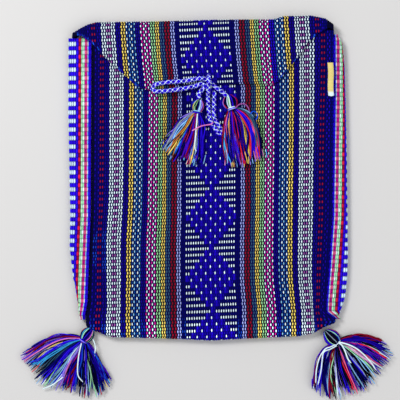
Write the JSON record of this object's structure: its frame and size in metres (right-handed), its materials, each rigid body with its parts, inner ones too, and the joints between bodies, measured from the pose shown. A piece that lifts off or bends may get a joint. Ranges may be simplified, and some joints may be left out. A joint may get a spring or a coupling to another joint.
{
  "type": "woven flap pouch",
  "caption": "Flat striped woven pouch with a folded flap, woven side bands, a braided tie cord in a bow and yarn tassels on the cord and at the bottom corners.",
  "frame": {"origin": "on the flat back of the pouch, near the middle of its width and height", "axes": "+Y runs along the warp stripes from the bottom fold to the flap fold, +Z points out of the front, +X points to the side that carries the label"},
  "size_m": [0.2952, 0.3063, 0.0233],
  "materials": {
    "striped_cloth": "coarse warp-faced weave, matt",
    "side_band": "woven band, matt",
    "label_tape": "fine woven tape, matt",
    "braided_cord": "braided yarn, slight sheen",
    "tassel_yarn": "loose twisted yarn",
    "binding_yarn": "wrapped yarn"
  },
  "bodies": {
    "root": {"main_panel": "striped_cloth", "gusset_left": "side_band", "gusset_right": "side_band", "side_label": "label_tape", "tie_cord": "braided_cord", "closing_loop": "braided_cord", "tassel_tie_left": "tassel_yarn", "tassel_tie_right": "tassel_yarn", "tassel_corner_left": "tassel_yarn", "tassel_corner_right": "tassel_yarn", "binding_tie_left": "binding_yarn", "binding_tie_right": "binding_yarn", "binding_corner_left": "binding_yarn", "binding_corner_right": "binding_yarn"}
  },
  "joints": []
}
